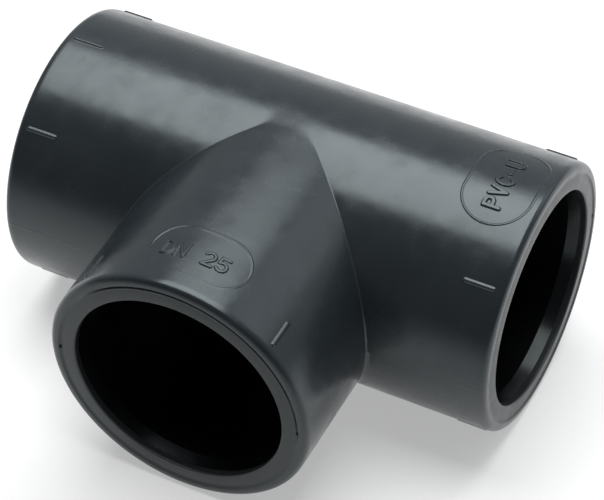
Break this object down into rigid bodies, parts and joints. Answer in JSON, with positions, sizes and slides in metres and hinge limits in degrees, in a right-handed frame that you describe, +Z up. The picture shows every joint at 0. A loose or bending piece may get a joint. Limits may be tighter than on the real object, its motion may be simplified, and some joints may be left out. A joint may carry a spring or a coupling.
{
  "type": "pvc tee fitting",
  "caption": "Equal 90-degree PVC-U pipe tee in dark grey, with plain solvent-cement sockets for 32 mm outside-diameter pressure pipe.",
  "frame": {"origin": "on the surface that the fitting lies on, under the middle of its footprint; the two axes cross at x 0, y +9.325 mm, z +21.15 mm", "axes": "X along the main line, -Y along the branch towards its mouth, +Z up, square to the plane of both axes"},
  "size_m": [0.079, 0.0604, 0.0423],
  "materials": {
    "pvc_grey": "semi-gloss moulded PVC-U, dark bluish grey, matt on the end faces and inside the sockets"
  },
  "bodies": {
    "root": {"tee_body": "pvc_grey"}
  },
  "joints": []
}
